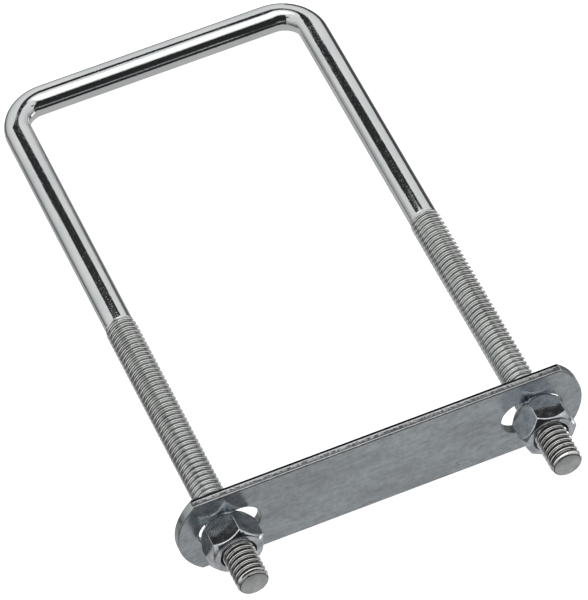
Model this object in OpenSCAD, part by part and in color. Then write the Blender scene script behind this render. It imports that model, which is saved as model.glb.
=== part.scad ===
// Square U-bolt with a slotted backing plate and two hex nuts, 5/16-18 UNC.
// It lies flat: legs along Y with the bow at +Y, bow bar along X, +Z up.
// The origin is under the middle of the whole object, level with the plate's lower edge.

/* [Bent rod] */
// Clear width between the two legs
inside_w = 71; // [50:0.5:120]
// Length from the rod ends to the outside of the bow
overall_l = 164; // [120:1:260]
// Diameter of the smooth rod
rod_d = 7.2; // [7.0:0.1:7.4]
// Inside radius of the two bends
bend_inside_r = 5.8; // [4:0.2:9]

/* [Thread] */
// Diameter over the thread crests
thread_d = 7.9; // [7.7:0.05:7.95]
// Threads per inch
threads_per_inch = 18; // [16, 18, 24]
// Length of thread on each leg
thread_l = 85; // [60:1:110]
// Diameter of the flat face at each rod end
rod_end_d = 6.7; // [6:0.1:7]

/* [Backing plate] */
// Length over the rounded ends
plate_l = 101.6; // [101:0.1:110]
// Width of the strip
plate_w = 23; // [21:0.5:30]
// Thickness of the strip
plate_t = 2.4; // [2:0.1:4]
// Radius of the rounded ends
plate_end_r = 15.5; // [15.5:0.5:20]
// Width of each slot
slot_w = 9.6; // [9:0.1:10.5]
// Length of each slot, end to end
slot_l = 15.2; // [13:0.1:16]
// Distance from each leg's axis to its slot's middle, towards the plate's middle
slot_inset = 1.2; // [0:0.1:1.5]

/* [Hex nuts] */
// Width across the flats
nut_af = 12.4; // [12:0.1:13]
// Height of the nut
nut_h = 8.25; // [7.5:0.05:9]
// Slope of the bevel at the nut's outer face, from that face
nut_outer_bevel_angle = 47; // [30:1:52]
// Slope of the bevel at the plate side, from that face
nut_inner_bevel_angle = 57; // [30:1:60]
// Gap between the thread crests and the nut's bore, on the radius
nut_gap = 0.05; // [0.02:0.01:0.08]
// Turn of the left nut about its leg
nut_left_turn = 19.4; // [0:0.1:60]
// Turn of the right nut about its leg
nut_right_turn = 51.9; // [0:0.1:60]
// Length of thread that stands out past each nut
stud_l = 9.35; // [5:0.05:20]

/* [Hidden] */
$fn = 96;
INCH = 25.4;
pitch = INCH / threads_per_inch;
leg_x = (inside_w + rod_d) / 2;
mid_z = plate_w / 2;
end_y = -overall_l / 2;
bar_y = overall_l / 2 - rod_d / 2;
bend_r = bend_inside_r + rod_d / 2;
thread_start_y = end_y + thread_l;
// The thread runs out into the smooth rod over one pitch
runout_l = pitch;
end_bevel = (thread_d - rod_end_d) / 2;
nut_outer_y = end_y + stud_l;
plate_outer_y = nut_outer_y + nut_h;
plate_inner_y = plate_outer_y + plate_t;
plate_arc_x = plate_l / 2 - plate_end_r;
slot_x = leg_x - slot_inset;
slot_half = (slot_l - slot_w) / 2;
nut_corner_d = nut_af / cos(30);
// The bevels leave a round flat a little smaller than the width across flats.
// They are turned to a radius past the corners
nut_face_d = 0.95 * nut_af;
bevel_r = nut_corner_d / 2 + 1;
bevel_w = bevel_r - nut_face_d / 2;
outer_bevel_h = bevel_w * tan(nut_outer_bevel_angle);
inner_bevel_h = bevel_w * tan(nut_inner_bevel_angle);
nut_bore_d = thread_d + 2 * nut_gap;
bore_bevel = 0.5;
CUT = 1;
bright_zinc = [0.80, 0.82, 0.84];
plate_zinc = [0.55, 0.58, 0.62];
nut_zinc = [0.40, 0.43, 0.47];

// A cylinder along +Y that starts at y
module rod_y(y, length, diameter)
{
    translate([0, y, 0])
    rotate([-90, 0, 0])
    cylinder(h = length, d = diameter);
}

// A round profile turned about the Y axis; points are [radius, y]
module turned_y(points)
{
    rotate([-90, 0, 0])
    rotate_extrude()
    polygon(points);
}

// Threaded leg at x = 0, drawn at its crest diameter, bevelled at the free end
module threaded_leg()
{
    turned_y([
        [0, end_y],
        [rod_end_d / 2, end_y],
        [thread_d / 2, end_y + end_bevel],
        [thread_d / 2, thread_start_y - runout_l],
        [rod_d / 2, thread_start_y],
        [rod_d / 2, bar_y - bend_r],
        [0, bar_y - bend_r]
    ]);
}

// Quarter bend whose centre is at [x, bar_y - bend_r]
module quarter_bend(x, start_angle)
{
    translate([x, bar_y - bend_r, 0])
    rotate([0, 0, start_angle])
    rotate_extrude(angle = 90)
    translate([bend_r, 0])
    circle(d = rod_d);
}

module u_bolt()
{
    color(bright_zinc)
    translate([0, 0, mid_z])
    union()
    {
        for (side = [-1, 1])
            translate([side * leg_x, 0, 0])
            threaded_leg();
        quarter_bend(leg_x - bend_r, 0);
        quarter_bend(bend_r - leg_x, 90);
        translate([bend_r - leg_x, bar_y, 0])
        rotate([0, 90, 0])
        cylinder(h = 2 * (leg_x - bend_r), d = rod_d);
    }
}

module plate_outline()
{
    intersection()
    {
        square([plate_l, plate_w], center = true);
        union()
        {
            square([2 * plate_arc_x, plate_w], center = true);
            for (side = [-1, 1])
                translate([side * plate_arc_x, 0])
                circle(r = plate_end_r);
        }
    }
}

module slot_outline()
{
    square([2 * slot_half, slot_w], center = true);
    for (side = [-1, 1])
        translate([side * slot_half, 0])
        circle(d = slot_w);
}

module back_plate()
{
    color(plate_zinc)
    translate([0, plate_inner_y, mid_z])
    rotate([90, 0, 0])
    linear_extrude(height = plate_t)
    difference()
    {
        plate_outline();
        for (side = [-1, 1])
            translate([side * slot_x, 0])
            slot_outline();
    }
}

// Double-bevelled hex nut at x = 0 against the plate; turn is about the leg
module hex_nut(turn)
{
    difference()
    {
        intersection()
        {
            translate([0, nut_outer_y, 0])
            rotate([0, -turn, 0])
            rotate([-90, 0, 0])
            cylinder(h = nut_h, d = nut_corner_d, $fn = 6);
            turned_y([
                [0, nut_outer_y],
                [nut_face_d / 2, nut_outer_y],
                [bevel_r, nut_outer_y + outer_bevel_h],
                [bevel_r, plate_outer_y - inner_bevel_h],
                [nut_face_d / 2, plate_outer_y],
                [0, plate_outer_y]
            ]);
        }
        rod_y(nut_outer_y - CUT, nut_h + 2 * CUT, nut_bore_d);
        turned_y([
            [0, nut_outer_y - CUT],
            [nut_bore_d / 2 + bore_bevel + CUT, nut_outer_y - CUT],
            [nut_bore_d / 2, nut_outer_y + bore_bevel],
            [0, nut_outer_y + bore_bevel]
        ]);
        turned_y([
            [0, plate_outer_y - bore_bevel],
            [nut_bore_d / 2, plate_outer_y - bore_bevel],
            [nut_bore_d / 2 + bore_bevel + CUT, plate_outer_y + CUT],
            [0, plate_outer_y + CUT]
        ]);
    }
}

module nut_left()
{
    color(nut_zinc)
    translate([-leg_x, 0, mid_z])
    hex_nut(nut_left_turn);
}

module nut_right()
{
    color(nut_zinc)
    translate([leg_x, 0, mid_z])
    hex_nut(nut_right_turn);
}

u_bolt();
back_plate();
nut_left();
nut_right();
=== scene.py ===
# Square U-bolt with its slotted backing plate and two hex nuts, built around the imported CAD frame
import math

import bmesh
import bpy
from mathutils import Matrix, Vector


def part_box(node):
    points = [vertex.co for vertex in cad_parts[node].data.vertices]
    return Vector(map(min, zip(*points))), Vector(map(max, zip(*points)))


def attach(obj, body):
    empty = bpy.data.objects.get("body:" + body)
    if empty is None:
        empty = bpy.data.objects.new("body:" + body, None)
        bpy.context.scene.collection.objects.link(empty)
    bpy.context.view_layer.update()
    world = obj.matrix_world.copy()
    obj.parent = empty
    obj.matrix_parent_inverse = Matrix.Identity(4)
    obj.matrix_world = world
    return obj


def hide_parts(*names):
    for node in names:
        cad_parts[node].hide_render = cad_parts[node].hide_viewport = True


MM = 0.001
TURN = 2 * math.pi

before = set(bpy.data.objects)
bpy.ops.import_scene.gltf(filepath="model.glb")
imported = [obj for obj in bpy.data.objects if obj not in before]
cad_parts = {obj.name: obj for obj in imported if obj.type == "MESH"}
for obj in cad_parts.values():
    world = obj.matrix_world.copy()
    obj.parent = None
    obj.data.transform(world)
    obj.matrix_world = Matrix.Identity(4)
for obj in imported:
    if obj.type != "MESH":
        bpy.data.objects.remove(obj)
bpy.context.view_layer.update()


# ---------------------------------------------------------------- dimensions, millimetres

def box_mm(node):
    low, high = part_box(node)
    return low / MM, high / MM


ROD_LOW, ROD_HIGH = box_mm("u_bolt")
PLATE_LOW, PLATE_HIGH = box_mm("back_plate")

# Rod: its places come from the frame, and these sizes drive the rest.
# CORNER_R is the tighter corner pressed into the inside of each bend
PITCH = 25.4 / 18
ROD_R = 3.6
BEND_R = 9.4
CORNER_R = 4.0
# The left leg is threaded a little further up than the right one
THREAD_LENGTH = {-1: 84.7, 1: 83.4}
CREST_R = (ROD_HIGH.z - ROD_LOW.z) / 2
THREAD_DEPTH = 0.62 * PITCH
ROOT_R = CREST_R - THREAD_DEPTH
LEG_X = ROD_HIGH.x - CREST_R
MID_Z = (ROD_HIGH.z + ROD_LOW.z) / 2
END_Y = ROD_LOW.y
BAR_Y = ROD_HIGH.y - ROD_R
THREAD_START_Y = {side: END_Y + length for side, length in THREAD_LENGTH.items()}
RUNOUT = 1.3 * PITCH
# Where the thread's crest stands on each leg, as a share of one turn
LEG_PHASE = {-1: 0.0, 1: 0.5}
# The first turns of the thread are shallower: share of the full depth at the tip, and their length
FIRST_TURN_DEPTH = 0.45
FIRST_TURNS = 1.5 * PITCH
# Points round the rod and rows along each straight and each bend
ROD_COLUMNS = 64
STRAIGHT_STEPS = 30
BEND_STEPS = 28

# One pitch of the thread's rounded 60 degree profile: (share of a pitch, share of the depth)
THREAD_PROFILE = [
    (0.0, 0.0), (0.04, 0.01), (0.09, 0.055), (0.14, 0.15), (0.21, 0.34), (0.29, 0.60),
    (0.37, 0.84), (0.44, 0.97), (0.5, 1.0), (0.56, 0.97), (0.63, 0.84), (0.71, 0.60),
    (0.79, 0.34), (0.86, 0.15), (0.91, 0.055), (0.96, 0.01), (1.0, 0.0),
]
# Rim of a rod end: (distance from the end, radius)
TIP_RIM = [
    (0.0, 3.28), (0.03, 3.38), (0.08, 3.46), (0.18, 3.54), (0.4, 3.67), (0.7, 3.81), (1.0, 3.93),
    (1.3, 4.1),
]

# Nuts: half the width across flats, the round flat on each face and the slopes of the bevels
NUT_FLAT_R = 6.2
NUT_FACE_R = 0.95 * NUT_FLAT_R
NUT_OUTER_BEVEL = math.tan(math.radians(47))
NUT_INNER_BEVEL = math.tan(math.radians(57))
NUT_TURN = {-1: 19.4, 1: 51.9}
NUT_EDGE_R = 0.22
# Bore: radius at the mouth of its bevel, radius over its thread's crests, gap to the rod's thread
NUT_MOUTH_R = 4.5
NUT_MINOR_R = 3.36
THREAD_CLEARANCE = 0.07
# Height of the outer face of both nuts, past which the studs stand out
NUT_FACE_Y = box_mm("nut_left")[0].y

# Backing plate
PLATE_END_R = 15.5
SLOT_W = 9.6
SLOT_L = 15.2
SLOT_INSET = 1.2
# Radii of the edges all round the plate, at the nuts' side and at the far side, and in the slots
PLATE_FRONT_EDGE = 0.35
PLATE_BACK_EDGE = 0.32
SLOT_EDGE = 0.4
# Bands across the sheared long edges: smooth by the nuts, torn in the middle, dark at the far rim
SMOOTH_BAND = 0.5
DARK_BAND = 0.78
# Points round each of the plate's ends, along each long edge and round each slot end
PLATE_END_STEPS = 28
PLATE_SIDE_STEPS = 40
SLOT_END_STEPS = 24


def interpolate(table, x):
    """Straight-line value at x in a list of (x, value) pairs."""
    for (x0, v0), (x1, v1) in zip(table, table[1:]):
        if x <= x1:
            share = (x - x0) / (x1 - x0)
            return v0 + share * (v1 - v0)
    return table[-1][1]


def smooth_step(x):
    """0 below x = 0 and 1 above x = 1, with an even S between."""
    x = min(max(x, 0.0), 1.0)
    return x * x * (3 - 2 * x)


# ---------------------------------------------------------------- mesh helpers

def grid_faces(rows, columns, flip=False):
    """Quads of a grid whose vertices run row by row."""
    faces = []
    for i in range(rows - 1):
        for j in range(columns - 1):
            a = i * columns + j
            quad = (a, a + 1, a + columns + 1, a + columns)
            faces.append(quad[::-1] if flip else quad)
    return faces


def bmesh_from(vertices, faces):
    """A bmesh in metres from vertices in millimetres."""
    mesh = bpy.data.meshes.new("grid")
    mesh.from_pydata([Vector(v) * MM for v in vertices], [], faces)
    bm = bmesh.new()
    bm.from_mesh(mesh)
    bpy.data.meshes.remove(mesh)
    return bm


def weld(bm):
    """Joins points that coincide, where grids close and clamped rows pile up."""
    distance = 0.002 * MM
    bmesh.ops.remove_doubles(bm, verts=bm.verts, dist=distance)
    bmesh.ops.dissolve_degenerate(bm, edges=bm.edges, dist=distance / 2)


def cap_holes(bm):
    """Closes the open ends of the rod."""
    rims = [e for e in bm.edges if len(e.link_faces) == 1]
    if rims:
        bmesh.ops.holes_fill(bm, edges=rims, sides=0)


def piece(name, bm, materials, body, node, sharp_angle):
    """Makes the object, shades it smooth up to sharp_angle and ties it to the frame."""
    bmesh.ops.recalc_face_normals(bm, faces=bm.faces)
    for face in bm.faces:
        face.smooth = True
    for edge in bm.edges:
        if len(edge.link_faces) == 2 and edge.calc_face_angle() > math.radians(sharp_angle):
            edge.smooth = False
    mesh = bpy.data.meshes.new(name)
    bm.to_mesh(mesh)
    bm.free()
    for material in materials:
        mesh.materials.append(material)
    obj = bpy.data.objects.new(name, mesh)
    bpy.context.scene.collection.objects.link(obj)
    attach(obj, body)
    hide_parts(node)
    return obj


def keep_flats_flat(obj):
    """Normals follow the larger faces, so flats stay flat beside their narrow rounded edges."""
    modifier = obj.modifiers.new("flats", "WEIGHTED_NORMAL")
    modifier.mode = "FACE_AREA"
    modifier.keep_sharp = True
    modifier.weight = 80


# ---------------------------------------------------------------- thread

def thread_phase(side, y, theta):
    """Share of a turn past the crest, for a right-hand thread. theta runs from +X towards +Z."""
    return (y / PITCH + theta / TURN - LEG_PHASE[side]) % 1.0


def thread_rows(side, theta, low_y, high_y):
    """Heights of the helical rows at theta; rows of the spare turns pile up at low_y and high_y."""
    spare = 2
    first = math.floor(low_y / PITCH) - spare
    last = math.ceil(high_y / PITCH) + spare
    heights = []
    for turn in range(first, last + 1):
        for share, _ in THREAD_PROFILE[:-1]:
            y = PITCH * (turn + share + LEG_PHASE[side] - theta / TURN)
            heights.append(min(max(y, low_y), high_y))
    return heights


def rod_radius(side, y, theta):
    """Radius of the threaded leg: full thread, fading into the shank and cut by the rounded tip."""
    depth = interpolate(THREAD_PROFILE, thread_phase(side, y, theta))
    full = CREST_R - depth * THREAD_DEPTH
    fade = smooth_step((THREAD_START_Y[side] - y) / RUNOUT)
    growth = smooth_step((y - END_Y) / FIRST_TURNS)
    share = FIRST_TURN_DEPTH + (1 - FIRST_TURN_DEPTH) * growth
    cut = CREST_R - (CREST_R - full) * share
    radius = ROD_R + (cut - ROD_R) * fade
    return min(radius, interpolate(TIP_RIM, y - END_Y))


# ---------------------------------------------------------------- rod

def rod_columns():
    """Angles round the rod, from its inside; the last closes the ring."""
    return [TURN * j / ROD_COLUMNS for j in range(ROD_COLUMNS + 1)]


def threaded_leg_rows(side):
    """Rows of points from the tip up to where the thread starts. Column 0 faces the other leg."""
    columns = []
    for a in rod_columns():
        theta = a if side < 0 else math.pi - a
        points = []
        for y in thread_rows(side, theta, END_Y, THREAD_START_Y[side]):
            r = rod_radius(side, y, theta)
            points.append((side * (LEG_X - r * math.cos(a)), y, MID_Z + r * math.sin(a)))
        columns.append(points)
    return [list(row) for row in zip(*columns)]


def leg_row(side, y):
    """Ring round the smooth part of a leg."""
    return [
        (side * (LEG_X - ROD_R * math.cos(a)), y, MID_Z + ROD_R * math.sin(a))
        for a in rod_columns()
    ]


def bend_row(side, angle):
    """Section round a bend; angle 0 is at the leg and a quarter turn is at the bow."""
    row = []
    for a in rod_columns():
        out = bend_reach(angle, a)
        x = side * (LEG_X - BEND_R + out * math.cos(angle))
        y = BAR_Y - BEND_R + out * math.sin(angle)
        row.append((x, y, MID_Z + ROD_R * math.sin(a)))
    return row


def bend_reach(angle, a):
    """Distance from the bend's centre; its inside was pressed into a tighter corner."""
    plain = BEND_R - ROD_R * math.cos(a)
    pressed = max(math.cos(a), 0.0) ** 2
    shift = (plain - CORNER_R) * pressed
    arc_r = plain - shift
    across = math.cos(angle) + math.sin(angle)
    on_arc = shift * across + math.sqrt(arc_r ** 2 - shift ** 2 * (2 - across ** 2))
    if on_arc * min(math.cos(angle), math.sin(angle)) >= shift:
        return on_arc
    return plain / max(math.cos(angle), math.sin(angle))


def bar_row(x):
    """Ring round the bow bar."""
    return [
        (x, BAR_Y - ROD_R * math.cos(a), MID_Z + ROD_R * math.sin(a)) for a in rod_columns()
    ]


def steps(start, end, count):
    """Values strictly between start and end, evenly spaced."""
    return [start + (end - start) * i / count for i in range(1, count)]


def rod_rows():
    """Rings along the whole rod, from the left tip round the bow to the right tip."""
    rows = threaded_leg_rows(-1)
    bend_y = BAR_Y - BEND_R
    bend_x = LEG_X - BEND_R
    quarter = TURN / 4
    rows += [leg_row(-1, y) for y in steps(THREAD_START_Y[-1], bend_y, STRAIGHT_STEPS)]
    rows += [bend_row(-1, angle) for angle in steps(0, quarter, BEND_STEPS)]
    rows += [bar_row(x) for x in steps(-bend_x, bend_x, STRAIGHT_STEPS)]
    rows += [bend_row(1, angle) for angle in steps(quarter, 0, BEND_STEPS)]
    rows += [leg_row(1, y) for y in steps(bend_y, THREAD_START_Y[1], STRAIGHT_STEPS)]
    rows += threaded_leg_rows(1)[::-1]
    return rows


def paint_rod(bm):
    """Face materials: 0 smooth rod, 1 thread and most of its run-out, 2 cut ends."""
    for face in bm.faces:
        centre = face.calc_center_median() / MM
        side = -1 if centre.x < 0 else 1
        if centre.y < END_Y + 0.01:
            face.material_index = 2
        elif centre.y < THREAD_START_Y[side] - 0.25 * RUNOUT:
            face.material_index = 1


def build_rod(materials):
    rows = rod_rows()
    vertices = [point for row in rows for point in row]
    bm = bmesh_from(vertices, grid_faces(len(rows), ROD_COLUMNS + 1))
    weld(bm)
    cap_holes(bm)
    paint_rod(bm)
    return piece("rod", bm, materials, "bolt", "u_bolt", 55)


# ---------------------------------------------------------------- nuts

def nut_columns(turn):
    """Angles of the nut's columns, closer together at the six corners. turn is in degrees."""
    near_corner = [0.0, 0.35, 0.7, 1.05, 1.5, 2.5]
    between = steps(near_corner[-1], 60.0 - near_corner[-1], 14)
    sixth = near_corner + between + [60.0 - d for d in reversed(near_corner[1:])]
    angles = [turn + 60.0 * k + d for k in range(6) for d in sixth]
    return [math.radians(d) for d in angles + [turn + 360.0]]


def hexagon_radius(theta, turn):
    """Distance to the nut's side, with its corners rounded to NUT_EDGE_R. Angles in radians."""
    half_side = math.pi / 6
    from_corner = (theta - turn + half_side) % (2 * half_side) - half_side
    straight = NUT_FLAT_R / math.cos(half_side - abs(from_corner))
    centre = (NUT_FLAT_R - NUT_EDGE_R) / math.cos(half_side)
    across = centre * math.sin(from_corner)
    # The arc meets the flats half its radius to each side of the corner
    if abs(across) > NUT_EDGE_R * math.sin(half_side):
        return straight
    return min(straight, centre * math.cos(from_corner) + math.sqrt(NUT_EDGE_R ** 2 - across ** 2))


def bevel_profile(outer_r, slope):
    """One face and its bevel as (radius, distance from that face), from the bore outwards.

    Both edges of the bevel are eased, and the outer one by at most 0.13 mm.
    """
    width = outer_r - NUT_FACE_R
    rise = width * slope
    soft = min(0.13, 0.45 * width)
    return [
        (NUT_MOUTH_R, 0.0),
        (NUT_MOUTH_R + 0.1, 0.0),
        (NUT_FACE_R - 0.2, 0.0),
        (NUT_FACE_R - 0.07, 0.012),
        (NUT_FACE_R + 0.02, 0.05 + 0.02 * slope),
        (outer_r - soft, max(rise - soft * slope, 0.09)),
        (outer_r - soft * 0.3, rise),
        (outer_r, rise + soft * 1.1),
        (outer_r, rise + soft * 2.0),
    ]


def nut_side_profile(outer_r, height):
    """Outside of one column as (radius, distance from the outer face), face to face."""
    front = bevel_profile(outer_r, NUT_OUTER_BEVEL)
    back = [(r, height - d) for r, d in reversed(bevel_profile(outer_r, NUT_INNER_BEVEL))]
    return front + [(outer_r, height / 2)] + back


def nut_bore_radius(side, y, theta, low_y, high_y):
    """Threaded bore, clear of the rod's thread, with a bevelled mouth at each face."""
    depth = interpolate(THREAD_PROFILE, thread_phase(side, y, theta))
    thread = CREST_R - depth * THREAD_DEPTH + THREAD_CLEARANCE
    mouth = NUT_MOUTH_R - min(y - low_y, high_y - y)
    return max(thread, NUT_MINOR_R, mouth)


def round_leg(side, theta, r, y):
    """Point at radius r and angle theta about a leg."""
    return (side * LEG_X + r * math.cos(theta), y, MID_Z + r * math.sin(theta))


def paint_nut(bm, side):
    """Face materials: 0 outside, 1 bore, coloured dark as painted shade."""
    for face in bm.faces:
        centre = face.calc_center_median() / MM
        if math.hypot(centre.x - side * LEG_X, centre.z - MID_Z) < NUT_MOUTH_R:
            face.material_index = 1


def build_nut(side, name, body, node, materials):
    low, high = box_mm(node)
    turn = math.radians(NUT_TURN[side])
    outside = []
    bore = []
    for theta in nut_columns(NUT_TURN[side]):
        profile = nut_side_profile(hexagon_radius(theta, turn), high.y - low.y)
        outside.append([round_leg(side, theta, r, low.y + d) for r, d in profile])
        bore.append([
            round_leg(side, theta, nut_bore_radius(side, y, theta, low.y, high.y), y)
            for y in thread_rows(side, theta, low.y, high.y)
        ])
    vertices = []
    faces = []
    for columns in (outside, bore):
        rows = list(zip(*columns))
        start = len(vertices)
        vertices += [point for row in rows for point in row]
        faces += [
            tuple(start + v for v in quad)
            for quad in grid_faces(len(rows), len(columns), flip=columns is bore)
        ]
    bm = bmesh_from(vertices, faces)
    weld(bm)
    paint_nut(bm, side)
    nut = piece(name, bm, materials, body, node, 60)
    keep_flats_flat(nut)
    return nut


# ---------------------------------------------------------------- backing plate

def plate_outline(inset):
    """Outline of the plate as (x, z), moved inwards by inset."""
    half_w = (PLATE_HIGH.z - PLATE_LOW.z) / 2 - inset
    end_r = PLATE_END_R - inset
    arc_x = PLATE_HIGH.x - PLATE_END_R
    reach = math.asin(half_w / end_r)
    arc = [reach * (2 * i / PLATE_END_STEPS - 1) for i in range(PLATE_END_STEPS + 1)]
    right = [(arc_x + end_r * math.cos(t), end_r * math.sin(t)) for t in arc]
    left = [(-x, -z) for x, z in right]
    corner_x = right[-1][0]
    top = [(x, half_w) for x in steps(corner_x, -corner_x, PLATE_SIDE_STEPS)]
    bottom = [(-x, -z) for x, z in top]
    return right + top + left + bottom


def slot_outline(side, outset):
    """Outline of a slot as (x, z), moved outwards by outset."""
    centre_x = side * (LEG_X - SLOT_INSET)
    r = SLOT_W / 2 + outset
    half = (SLOT_L - SLOT_W) / 2
    points = []
    for end in (1, -1):
        for i in range(SLOT_END_STEPS + 1):
            t = math.pi * (i / SLOT_END_STEPS - end / 2)
            points.append((centre_x + end * half + r * math.cos(t), r * math.sin(t)))
    return points


def edge_profile(front, back, thickness):
    """Rounded edge across the plate as (inset, depth from the outer face)."""
    quarter_steps = 4
    angles = [TURN / 4 * i / quarter_steps for i in range(quarter_steps + 1)]
    rows = [(front * (1 - math.sin(t)), front * (1 - math.cos(t))) for t in angles]
    rows += [(0.0, SMOOTH_BAND), (0.0, thickness / 2), (0.0, thickness - DARK_BAND)]
    rows += [
        (back * (1 - math.cos(t)), thickness - back * (1 - math.sin(t))) for t in angles
    ]
    return rows


def wall(bm, outline, profile):
    """Rings of vertices along an outline's edge profile; returns the first and last ring."""
    rings = []
    for inset, depth in profile:
        ring = [
            bm.verts.new(Vector((x, PLATE_LOW.y + depth, MID_Z + z)) * MM)
            for x, z in outline(inset)
        ]
        rings.append(ring)
    for near, far in zip(rings, rings[1:]):
        for i in range(len(near)):
            k = (i + 1) % len(near)
            bm.faces.new((near[i], near[k], far[k], far[i]))
    return rings[0], rings[-1]


def fill_face(bm, rings):
    """Flat face between the plate's outline and its two slots."""
    edges = []
    for ring in rings:
        for i, vertex in enumerate(ring):
            edges.append(bm.edges.get((vertex, ring[(i + 1) % len(ring)])))
    bmesh.ops.triangle_fill(bm, edges=edges, use_beauty=True)


def paint_plate(bm):
    """Face materials of the walls: 1 sheared edges, 2 ends and slots, 3 dark far rim."""
    corner_x = plate_outline(0.0)[PLATE_END_STEPS][0]
    for face in bm.faces:
        centre = face.calc_center_median() / MM
        in_slot = abs(centre.z - MID_Z) < SLOT_W / 2 + SLOT_EDGE and abs(centre.x) < corner_x
        if in_slot:
            face.material_index = 2
        elif centre.y > PLATE_HIGH.y - DARK_BAND and abs(centre.x) < corner_x:
            face.material_index = 3
        elif centre.y > PLATE_HIGH.y - PLATE_BACK_EDGE:
            face.material_index = 3
        elif abs(centre.x) < corner_x:
            face.material_index = 1
        else:
            face.material_index = 2


def build_plate(materials):
    thickness = PLATE_HIGH.y - PLATE_LOW.y
    bm = bmesh.new()
    edge = edge_profile(PLATE_FRONT_EDGE, PLATE_BACK_EDGE, thickness)
    slot_edge = edge_profile(SLOT_EDGE, SLOT_EDGE, thickness)
    walls = [wall(bm, plate_outline, edge)]
    for side in (-1, 1):
        walls.append(wall(bm, lambda outset, side=side: slot_outline(side, outset), slot_edge))
    paint_plate(bm)
    for end in (0, 1):
        fill_face(bm, [rings[end] for rings in walls])
    plate = piece("plate", bm, materials, "plate", "back_plate", 50)
    keep_flats_flat(plate)
    return plate


# ---------------------------------------------------------------- materials

class Nodes:
    """Short calls for building a node material."""

    def __init__(self, name):
        self.material = bpy.data.materials.new(name)
        self.material.use_nodes = True
        self.tree = self.material.node_tree
        self.shader = self.tree.nodes["Principled BSDF"]
        self.coordinates = self.tree.nodes.new("ShaderNodeTexCoord").outputs["Object"]

    def link(self, a, b):
        self.tree.links.new(a, b)

    def axes(self):
        node = self.tree.nodes.new("ShaderNodeSeparateXYZ")
        self.link(self.coordinates, node.inputs[0])
        return node.outputs

    def stretched(self, x, y, z):
        node = self.tree.nodes.new("ShaderNodeMapping")
        node.inputs["Scale"].default_value = (x, y, z)
        self.link(self.coordinates, node.inputs["Vector"])
        return node.outputs["Vector"]

    def noise(self, scale, detail=3.0, roughness=0.5, vector=None):
        node = self.tree.nodes.new("ShaderNodeTexNoise")
        node.inputs["Scale"].default_value = scale
        node.inputs["Detail"].default_value = detail
        node.inputs["Roughness"].default_value = roughness
        self.link(vector or self.coordinates, node.inputs["Vector"])
        return node.outputs["Fac"]

    def ramp(self, value, stops):
        node = self.tree.nodes.new("ShaderNodeValToRGB")
        elements = node.color_ramp.elements
        while len(elements) < len(stops):
            elements.new(0.5)
        for element, (place, colour) in zip(elements, stops):
            element.position = place
            element.color = (*colour, 1) if isinstance(colour, tuple) else (colour,) * 3 + (1,)
        self.link(value, node.inputs["Fac"])
        return node.outputs["Color"]

    def math(self, operation, a, b=None):
        node = self.tree.nodes.new("ShaderNodeMath")
        node.operation = operation
        for socket, value in zip(node.inputs, (a, b)):
            if value is None:
                continue
            if isinstance(value, (int, float)):
                socket.default_value = value
            else:
                self.link(value, socket)
        return node.outputs[0]

    def mix(self, kind, share, a, b):
        node = self.tree.nodes.new("ShaderNodeMix")
        node.data_type = "RGBA"
        node.blend_type = kind
        for socket, value in ((node.inputs[0], share), (node.inputs[6], a), (node.inputs[7], b)):
            if isinstance(value, (int, float)):
                socket.default_value = value
            elif isinstance(value, tuple):
                socket.default_value = (*value, 1)
            else:
                self.link(value, socket)
        return node.outputs[2]

    def bump(self, height, strength, distance, normal=None):
        node = self.tree.nodes.new("ShaderNodeBump")
        node.inputs["Strength"].default_value = strength
        node.inputs["Distance"].default_value = distance * MM
        self.link(height, node.inputs["Height"])
        if normal is not None:
            self.link(normal, node.inputs["Normal"])
        return node.outputs["Normal"]

    def finish(self, colour, roughness, normal=None):
        self.shader.inputs["Metallic"].default_value = 1.0
        self.link(colour, self.shader.inputs["Base Color"])
        self.link(roughness, self.shader.inputs["Roughness"])
        if normal is not None:
            self.link(normal, self.shader.inputs["Normal"])
        return self.material


def bright_zinc():
    """Smooth drawn rod: nearly a mirror, with fine specks and slow waviness."""
    n = Nodes("bright zinc")
    patches = n.noise(70, detail=3)
    colour = n.ramp(patches, [(0.3, (0.76, 0.785, 0.79)), (0.7, (0.88, 0.88, 0.875))])
    grain = n.noise(900, detail=3)
    roughness = n.ramp(grain, [(0.3, 0.05), (0.75, 0.12)])
    waves = n.bump(n.noise(230, detail=2), 0.35, 0.04)
    specks = n.ramp(n.noise(2400, detail=2), [(0.6, 0.0), (0.72, 1.0)])
    normal = n.bump(specks, 0.3, 0.02, waves)
    return n.finish(colour, roughness, normal)


def share_between(n, value, low, high):
    """0 where value is low, 1 where it is high, in millimetres, and held between."""
    share = n.math("DIVIDE", n.math("SUBTRACT", value, low * MM), (high - low) * MM)
    return n.math("MAXIMUM", n.math("MINIMUM", share, 1.0), 0.0)


def along_legs(n, low, high):
    """0 at y = low and 1 at y = high."""
    return share_between(n, n.axes()["Y"], low, high)


def from_leg_axis(n):
    """0 at the thread's root and 1 at its crest."""
    axes = n.axes()
    across = n.math("SUBTRACT", n.math("ABSOLUTE", axes["X"]), LEG_X * MM)
    up = n.math("SUBTRACT", axes["Z"], MID_Z * MM)
    squares = n.math("ADD", n.math("POWER", across, 2), n.math("POWER", up, 2))
    return share_between(n, n.math("SQRT", squares), ROOT_R, CREST_R)


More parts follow.
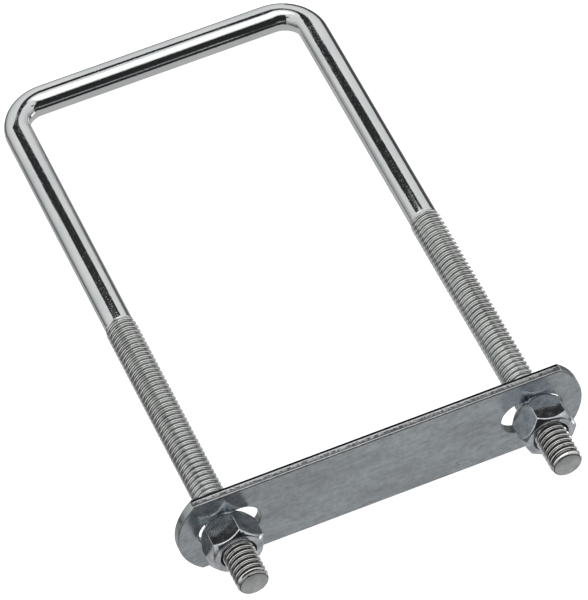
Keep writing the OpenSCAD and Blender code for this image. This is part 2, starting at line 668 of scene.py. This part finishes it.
def thread_zinc():
    """Rolled thread: bright crests over slightly green roots darkened as painted shade, the shade
    deeper and wider on the studs.
    """
    n = Nodes("thread zinc")
    height = from_leg_axis(n)
    patches = n.noise(160, detail=4)
    crest = n.ramp(patches, [(0.3, (0.86, 0.865, 0.85)), (0.7, (0.97, 0.97, 0.955))])
    # root is painted shade in the thread's grooves, kept slightly green
    root = n.ramp(patches, [(0.3, (0.13, 0.145, 0.14)), (0.7, (0.30, 0.32, 0.30))])
    plain = n.mix("MIX", n.ramp(height, [(0.22, 0.0), (0.62, 1.0)]), root, crest)
    # Past the nuts the painted shade in the grooves is darker and reaches further up the flanks
    stud_groove_shade = n.mix("MIX", n.ramp(height, [(0.34, 0.0), (0.76, 1.0)]), (0.08, 0.078, 0.07), crest)
    past_stud = along_legs(n, NUT_FACE_Y - 0.05, NUT_FACE_Y + 0.65)
    colour = n.mix("MIX", past_stud, stud_groove_shade, plain)
    grain = n.noise(1400, detail=3)
    shiny = n.ramp(grain, [(0.3, 0.07), (0.7, 0.22)])
    dull = n.ramp(grain, [(0.3, 0.34), (0.7, 0.46)])
    roughness = n.mix("MIX", n.ramp(height, [(0.3, 0.0), (0.7, 1.0)]), dull, shiny)
    normal = n.bump(n.noise(700, detail=3), 0.5, 0.05)
    return n.finish(colour, roughness, normal)


def shaded_bore_zinc():
    """Inside of a nut: coloured dark as painted shade for the shadowed gap round the stud."""
    n = Nodes("shaded bore zinc")
    patches = n.noise(400, detail=4)
    colour = n.ramp(patches, [(0.35, (0.07, 0.07, 0.07)), (0.7, (0.20, 0.20, 0.195))])
    roughness = n.ramp(patches, [(0.3, 0.35), (0.7, 0.5)])
    return n.finish(colour, roughness)


def cut_end_zinc():
    """Sawn rod ends under the plating: dull, with bright rubbed patches."""
    n = Nodes("cut end zinc")
    patches = n.noise(520, detail=4)
    colour = n.ramp(patches, [(0.35, (0.55, 0.58, 0.56)), (0.65, (0.82, 0.84, 0.82))])
    roughness = n.ramp(patches, [(0.3, 0.3), (0.7, 0.5)])
    normal = n.bump(n.noise(900, detail=4), 0.6, 0.06)
    return n.finish(colour, roughness, normal)


def plate_zinc():
    """Flat strip: satin blue-grey, cloudy, with short faint streaks along its length."""
    n = Nodes("plate zinc")
    streaks = n.noise(1.0, detail=5, roughness=0.7, vector=n.stretched(180, 900, 1000))
    clouds = n.noise(1.0, detail=6, roughness=0.72, vector=n.stretched(75, 150, 165))
    mottle = n.noise(620, detail=4, roughness=0.7)
    base = n.ramp(streaks, [(0.34, (0.55, 0.595, 0.62)), (0.66, (0.68, 0.73, 0.77))])
    shade = n.ramp(clouds, [(0.36, 0.72), (0.64, 1.0)])
    colour = n.mix("MULTIPLY", 1.0, base, shade)
    colour = n.mix("MULTIPLY", 1.0, colour, n.ramp(mottle, [(0.34, 0.82), (0.66, 1.04)]))
    stains = n.ramp(n.noise(520, detail=2), [(0.22, 0.3), (0.27, 1.0)])
    colour = n.mix("MULTIPLY", 0.7, colour, stains)
    roughness = n.ramp(clouds, [(0.3, 0.17), (0.7, 0.30)])
    grain = n.noise(1.0, detail=4, vector=n.stretched(500, 900, 2400))
    long_noise = n.noise(1.0, detail=2, vector=n.stretched(120, 900, 2600))
    scratches = n.ramp(long_noise, [(0.66, 0.0), (0.70, 1.0)])
    normal = n.bump(scratches, 0.12, 0.02, n.bump(grain, 0.22, 0.03))
    return n.finish(colour, roughness, normal)


def sheared_zinc():
    """The strip's long edges: cut smooth at the front, then torn, and bright by the far rim."""
    n = Nodes("sheared zinc")
    depth = along_legs(n, PLATE_LOW.y, PLATE_HIGH.y)
    grain = n.noise(1.0, detail=3, roughness=0.6, vector=n.stretched(1500, 1900, 1900))
    patches = n.noise(1.0, detail=2, vector=n.stretched(60, 200, 200))
    torn = n.ramp(grain, [(0.44, (0.12, 0.125, 0.13)), (0.56, (0.84, 0.855, 0.86))])
    smooth = n.ramp(depth, [(0.2, 1.0), (0.38, 0.1)])
    cut = n.mix("MIX", smooth, torn, (0.42, 0.435, 0.44))
    shine = n.ramp(depth, [(0.1, 0.22), (0.15, 0.0), (0.47, 0.0), (0.62, 0.8)])
    bright = n.mix("MIX", shine, cut, (0.93, 0.94, 0.95))
    level = n.ramp(depth, [(0.12, 1.0), (0.17, 0.42), (0.35, 0.6), (0.5, 0.85), (0.64, 1.0)])
    patched = n.mix("MULTIPLY", 1.0, bright, n.ramp(patches, [(0.3, 0.8), (0.7, 1.0)]))
    colour = n.mix("MULTIPLY", 1.0, patched, level)
    roughness = n.ramp(grain, [(0.3, 0.25), (0.7, 0.4)])
    normal = n.bump(grain, 0.8, 0.1)
    return n.finish(colour, roughness, normal)


def punched_zinc():
    """The plate's round ends and slots: cleaner, slightly green-grey."""
    n = Nodes("punched zinc")
    lines = n.noise(1.0, detail=3, vector=n.stretched(900, 150, 900))
    colour = n.ramp(lines, [(0.3, (0.38, 0.42, 0.41)), (0.7, (0.56, 0.60, 0.59))])
    roughness = n.ramp(lines, [(0.3, 0.2), (0.7, 0.36)])
    normal = n.bump(lines, 0.4, 0.05)
    return n.finish(colour, roughness, normal)


def dark_rim_zinc():
    """The far rim of the plate: a thin band coloured nearly black."""
    n = Nodes("dark rim zinc")
    grain = n.noise(700, detail=4)
    colour = n.ramp(grain, [(0.35, (0.008, 0.008, 0.01)), (0.8, (0.04, 0.04, 0.045))])
    roughness = n.ramp(grain, [(0.3, 0.35), (0.7, 0.55)])
    return n.finish(colour, roughness)


def nut_zinc():
    """Cold-formed nut: smooth and bright, with mottled patches and small marks."""
    n = Nodes("nut zinc")
    clouds = n.noise(420, detail=5, roughness=0.65)
    colour = n.ramp(clouds, [(0.36, (0.50, 0.53, 0.57)), (0.64, (0.84, 0.86, 0.88))])
    marks = n.ramp(n.noise(1500, detail=2), [(0.30, 0.3), (0.36, 1.0)])
    colour = n.mix("MULTIPLY", 0.8, colour, marks)
    roughness = n.ramp(clouds, [(0.3, 0.10), (0.7, 0.2)])
    normal = n.bump(n.noise(600, detail=4), 0.5, 0.05)
    return n.finish(colour, roughness, normal)


# ---------------------------------------------------------------- studio

def emitter(name, level):
    material = bpy.data.materials.new(name)
    material.use_nodes = True
    tree = material.node_tree
    tree.nodes.clear()
    out = tree.nodes.new("ShaderNodeOutputMaterial")
    glow = tree.nodes.new("ShaderNodeEmission")
    glow.inputs["Color"].default_value = (1, 1, 1, 1)
    glow.inputs["Strength"].default_value = level
    tree.links.new(glow.outputs[0], out.inputs["Surface"])
    return material


def card(name, corners, level):
    """A flat panel in the studio, seen only in reflections. Corners in millimetres."""
    mesh = bpy.data.meshes.new(name)
    mesh.from_pydata([Vector(c) * MM for c in corners], [], [tuple(range(len(corners)))])
    mesh.materials.append(emitter(name, level))
    obj = bpy.data.objects.new(name, mesh)
    bpy.context.scene.collection.objects.link(obj)
    obj.visible_camera = False
    obj.visible_shadow = False
    obj.visible_diffuse = False
    return obj


def build_floor():
    """Pale floor on which the object leans, on the plate's lower edge and the bow's underside."""
    size = 6000.0
    gap = 0.05
    rise = (MID_Z - ROD_R) / (BAR_Y - PLATE_HIGH.y)
    corners = [(-size, -size), (size, -size), (size, size), (-size, size)]
    mesh = bpy.data.meshes.new("floor")
    points = [Vector((x, y, (y - PLATE_HIGH.y) * rise - gap)) * MM for x, y in corners]
    mesh.from_pydata(points, [], [(0, 1, 2, 3)])
    material = bpy.data.materials.new("floor")
    material.use_nodes = True
    shader = material.node_tree.nodes["Principled BSDF"]
    shader.inputs["Base Color"].default_value = (0.9, 0.9, 0.9, 1)
    shader.inputs["Roughness"].default_value = 1.0
    shader.inputs["Specular IOR Level"].default_value = 0.0
    shader.inputs["Emission Color"].default_value = (1, 1, 1, 1)
    shader.inputs["Emission Strength"].default_value = 0.8
    mesh.materials.append(material)
    obj = bpy.data.objects.new("floor", mesh)
    bpy.context.scene.collection.objects.link(obj)
    obj.visible_glossy = False


def build_world():
    """Pale room, darker towards the horizon."""
    world = bpy.data.worlds.new("studio")
    bpy.context.scene.world = world
    world.use_nodes = True
    tree = world.node_tree
    split = tree.nodes.new("ShaderNodeSeparateXYZ")
    height = tree.nodes.new("ShaderNodeMapRange")
    ramp = tree.nodes.new("ShaderNodeValToRGB")
    direction = tree.nodes.new("ShaderNodeTexCoord").outputs["Generated"]
    height.inputs["From Min"].default_value = -1.0
    tree.links.new(direction, split.inputs[0])
    tree.links.new(split.outputs["Z"], height.inputs["Value"])
    tree.links.new(height.outputs[0], ramp.inputs["Fac"])
    tree.links.new(ramp.outputs["Color"], tree.nodes["Background"].inputs["Color"])
    levels = [
        (0.0, 0.50), (0.19, 0.42), (0.25, 0.12), (0.32, 0.12), (0.40, 0.38), (0.50, 0.60),
        (0.62, 0.68), (1.0, 0.80),
    ]
    elements = ramp.color_ramp.elements
    while len(elements) < len(levels):
        elements.new(0.5)
    for element, (place, level) in zip(elements, levels):
        element.position = place
        element.color = (level, level * 1.01, level * 1.015, 1)


def flat_card(name, outline, height, level):
    """A level card at a height above the rod's axis; outline is a list of (x, y)."""
    card(name, [(x, y, MID_Z + height) for x, y in outline], level)


def rectangle(low_x, low_y, high_x, high_y):
    return [(low_x, low_y), (high_x, low_y), (high_x, high_y), (low_x, high_y)]


def build_cards():
    """Panels whose reflections give the rod its bright and dark bands and shade the nuts."""
    flat_card("reflected floor", rectangle(-230, -260, 220, 300), -160, 0.46)
    flat_card("overhead", rectangle(-420, -330, 280, 110), 600, 1.3)
    card("dark front", [
        (-690, -700, -320), (900, -700, -320), (900, -700, 60), (520, -700, 480),
        (520, -700, 900), (-690, -700, 900),
    ], 0.02)
    card("bright right", [
        (300, -190, -270), (300, 60, -270), (300, 60, -130), (300, -190, -130),
    ], 1.5)
    flat_card("floor shade", rectangle(-230, -260, -115, -150), -155, 0.12)
    flat_card("boom", [
        (-130, 142), (-60, 138), (0, 140), (30, 142), (52, 128), (72, 90), (92, 98),
        (96, 150), (86, 184), (60, 208), (22, 230), (-60, 256), (-178, 300), (-178, 228),
        (-140, 206),
    ], 180, 0.025)
    flat_card("nut shade left", rectangle(-95, -40, -44, 2), 60, 0.03)
    flat_card("nut shade right", rectangle(60, -40, 112, 2), 60, 0.03)
    card("dark right", [
        (560, 250, -160), (250, 620, -160), (250, 620, 60), (560, 250, 60),
    ], 0.06)


def build_camera():
    """Long lens above and left of the studs, tipped a little about its own axis."""
    azimuth = math.radians(-17.592)
    elevation = math.radians(49.885)
    roll = math.radians(-6.535)
    target = Vector((2.238, -5.377, 7.752))
    distance = 1242.47
    lens = 312.87
    back = Vector((
        math.sin(azimuth) * math.cos(elevation),
        -math.cos(azimuth) * math.cos(elevation),
        math.sin(elevation),
    ))
    right = Vector((0, 0, 1)).cross(back).normalized()
    up = back.cross(right)
    tilted_up = up * math.cos(roll) - right * math.sin(roll)
    tilted_right = tilted_up.cross(back)
    data = bpy.data.cameras.new("camera")
    data.lens = lens
    data.sensor_width = 36.0
    data.clip_end = 50.0
    obj = bpy.data.objects.new("camera", data)
    bpy.context.scene.collection.objects.link(obj)
    axes = Matrix((tilted_right, tilted_up, back)).transposed().to_4x4()
    obj.matrix_world = Matrix.Translation((target + back * distance) * MM) @ axes
    bpy.context.scene.camera = obj


def build_studio():
    build_world()
    build_cards()
    build_floor()
    build_camera()
    bpy.context.scene.view_settings.view_transform = "Standard"


# ---------------------------------------------------------------- scene

build_rod([bright_zinc(), thread_zinc(), cut_end_zinc()])
build_plate([plate_zinc(), sheared_zinc(), punched_zinc(), dark_rim_zinc()])
nut_materials = [nut_zinc(), shaded_bore_zinc()]
build_nut(-1, "hex_nut_l", "left_nut", "nut_left", nut_materials)
build_nut(1, "hex_nut_r", "right_nut", "nut_right", nut_materials)
build_studio()
